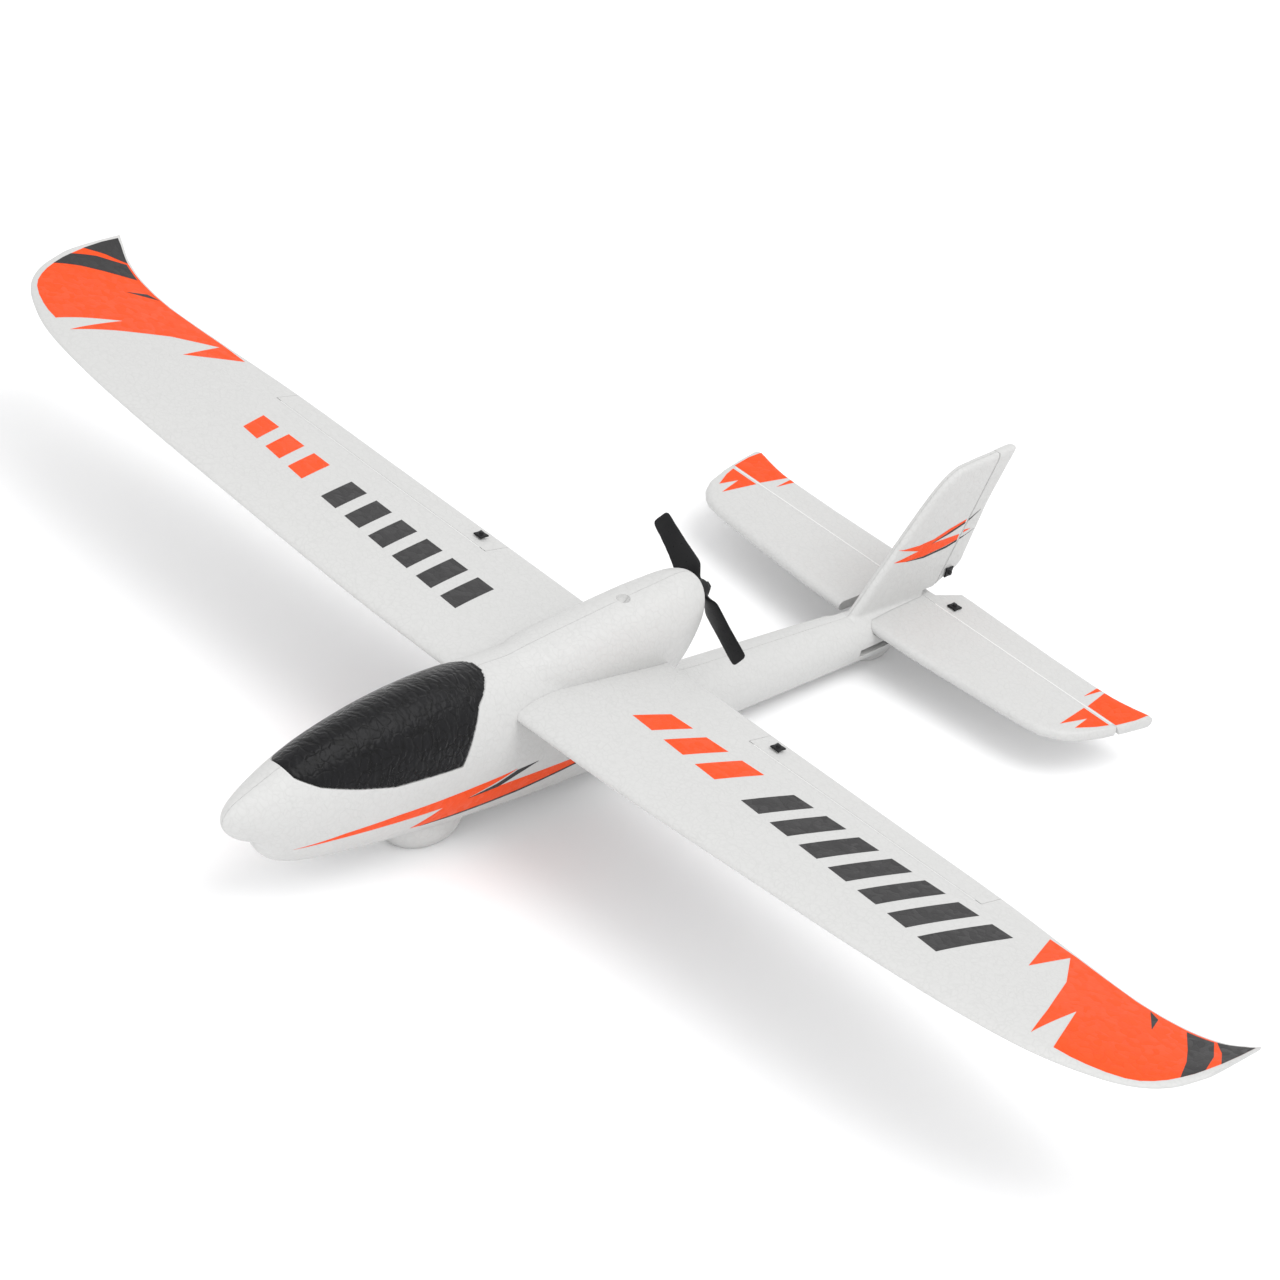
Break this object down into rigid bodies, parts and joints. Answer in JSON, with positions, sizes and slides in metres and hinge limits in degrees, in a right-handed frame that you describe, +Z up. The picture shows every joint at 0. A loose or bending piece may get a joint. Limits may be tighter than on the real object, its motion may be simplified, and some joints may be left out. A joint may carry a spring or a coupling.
{
  "type": "rc foam airplane",
  "caption": "Radio-controlled foam airplane with a high wing, a pusher propeller on a pylon, a lift-off canopy hatch and hinged ailerons, elevator and rudder.",
  "frame": {"origin": "on the floor under the middle of the airplane's box, which stands on its belly and tail bulges", "axes": "+X to the left wing tip, +Y to the tail, +Z up"},
  "size_m": [0.6, 0.42, 0.0871],
  "materials": {
    "white_foam": "satin moulded bead foam",
    "black_foam": "painted moulded foam, pebbled and glossy",
    "black_plastic": "satin moulded nylon",
    "carbon_fibre": "pultruded and laminated carbon fibre",
    "steel": "bright drawn steel",
    "magnet_plating": "nickel plating",
    "circuit_board": "green solder mask with black chips",
    "battery_wrap": "shrink wrap",
    "strap_webbing": "hook and loop strap",
    "servo_plastic": "translucent moulded case"
  },
  "bodies": {
    "airframe": {"fuselage_left": "white_foam", "fuselage_right": "white_foam", "wing_left": "white_foam", "wing_right": "white_foam", "stabiliser": "white_foam", "wing_spar": "carbon_fibre", "equipment_tray": "carbon_fibre", "battery": "battery_wrap", "battery_strap": "strap_webbing", "control_board": "circuit_board", "hatch_keeper": "steel", "motor": "steel", "motor_mount": "black_plastic", "motor_screw_left": "steel", "motor_screw_right": "steel", "elevator_servo": "servo_plastic", "rudder_servo": "servo_plastic", "aileron_left_servo": "servo_plastic", "aileron_right_servo": "servo_plastic"},
    "hatch": {"canopy_hatch": "black_foam", "hatch_magnet": "magnet_plating"},
    "elevator": {"elevator": "white_foam", "elevator_horn": "black_plastic", "elevator_horn_plate": "black_plastic"},
    "rudder": {"rudder": "white_foam", "rudder_horn": "black_plastic", "rudder_horn_plate": "black_plastic"},
    "propeller_drive": {"motor_shaft": "steel", "propeller": "black_plastic", "propeller_nut": "black_plastic"},
    "elevator_arm": {"elevator_servo_arm": "black_plastic"},
    "rudder_arm": {"rudder_servo_arm": "black_plastic"},
    "elevator_rod": {"elevator_pushrod": "steel"},
    "rudder_rod": {"rudder_pushrod": "steel"},
    "aileron_left": {"aileron_left": "white_foam", "aileron_left_horn": "black_plastic", "aileron_left_horn_plate": "black_plastic"},
    "aileron_left_arm": {"aileron_left_servo_arm": "black_plastic"},
    "aileron_left_rod": {"aileron_left_pushrod": "steel"},
    "aileron_right": {"aileron_right": "white_foam", "aileron_right_horn": "black_plastic", "aileron_right_horn_plate": "black_plastic"},
    "aileron_right_arm": {"aileron_right_servo_arm": "black_plastic"},
    "aileron_right_rod": {"aileron_right_pushrod": "steel"}
  },
  "joints": [
    {"name": "aileron_left_hinge", "type": "hinge", "parent": "airframe", "child": "aileron_left", "pos_m": [0.0697, -0.0158, 0.0556], "axis": [0.9991, -0.0257, 0.0325], "range_deg": [-20, 20]},
    {"name": "aileron_right_hinge", "type": "hinge", "parent": "airframe", "child": "aileron_right", "pos_m": [-0.0697, -0.0158, 0.0556], "axis": [0.9991, 0.0257, -0.0325], "range_deg": [-20, 20]},
    {"name": "elevator_hinge", "type": "hinge", "parent": "airframe", "child": "elevator", "pos_m": [0, 0.1728, 0.0212], "axis": [1, 0, 0], "range_deg": [-20, 20]},
    {"name": "rudder_hinge", "type": "hinge", "parent": "airframe", "child": "rudder", "pos_m": [0, 0.1788, 0.0252], "axis": [0, 0.3307, 0.9438], "range_deg": [-20, 20]},
    {"name": "elevator_arm_pivot", "type": "hinge", "parent": "airframe", "child": "elevator_arm", "pos_m": [0.0032, -0.05, 0.0286], "axis": [1, 0, 0], "range_deg": [-34, 34]},
    {"name": "elevator_rod_slide", "type": "slide", "parent": "airframe", "child": "elevator_rod", "axis": [0, 1, 0], "range_m": [-0.0038, 0.0038]},
    {"name": "rudder_arm_pivot", "type": "hinge", "parent": "airframe", "child": "rudder_arm", "pos_m": [-0.0032, -0.05, 0.0286], "axis": [1, 0, 0], "range_deg": [-34, 34]},
    {"name": "rudder_rod_slide", "type": "slide", "parent": "airframe", "child": "rudder_rod", "axis": [0, 0.9438, -0.3307], "range_m": [-0.0036, 0.0036]},
    {"name": "aileron_left_arm_pivot", "type": "hinge", "parent": "airframe", "child": "aileron_left_arm", "pos_m": [0.0779, -0.047, 0.0502], "axis": [1, 0, 0], "range_deg": [-37, 37]},
    {"name": "aileron_left_rod_slide", "type": "slide", "parent": "airframe", "child": "aileron_left_rod", "axis": [0, 1, 0], "range_m": [-0.0042, 0.0042]},
    {"name": "aileron_right_arm_pivot", "type": "hinge", "parent": "airframe", "child": "aileron_right_arm", "pos_m": [-0.0779, -0.047, 0.0502], "axis": [1, 0, 0], "range_deg": [-37, 37]},
    {"name": "aileron_right_rod_slide", "type": "slide", "parent": "airframe", "child": "aileron_right_rod", "axis": [0, 1, 0], "range_m": [-0.0042, 0.0042]},
    {"name": "propeller_spin", "type": "hinge", "parent": "airframe", "child": "propeller_drive", "pos_m": [0, 0.0254, 0.0669], "axis": [0, 1, 0], "continuous": true},
    {"name": "hatch_lift", "type": "slide", "parent": "airframe", "child": "hatch", "axis": [0, 0, 1], "range_m": [0, 0.04]}
  ],
  "couplings": [
    {"joint": "aileron_right_hinge", "follows": "aileron_left_hinge", "ratio": -1},
    {"joint": "elevator_arm_pivot", "follows": "elevator_hinge", "ratio": 1.631},
    {"joint": "elevator_rod_slide", "follows": "elevator_hinge", "m_per_rad": 0.0106},
    {"joint": "rudder_arm_pivot", "follows": "rudder_hinge", "ratio": -1.477},
    {"joint": "rudder_rod_slide", "follows": "rudder_hinge", "m_per_rad": -0.0096},
    {"joint": "aileron_left_arm_pivot", "follows": "aileron_left_hinge", "ratio": 1.754},
    {"joint": "aileron_left_rod_slide", "follows": "aileron_left_hinge", "m_per_rad": 0.0114},
    {"joint": "aileron_right_arm_pivot", "follows": "aileron_left_hinge", "ratio": -1.754},
    {"joint": "aileron_right_rod_slide", "follows": "aileron_left_hinge", "m_per_rad": -0.0114}
  ]
}
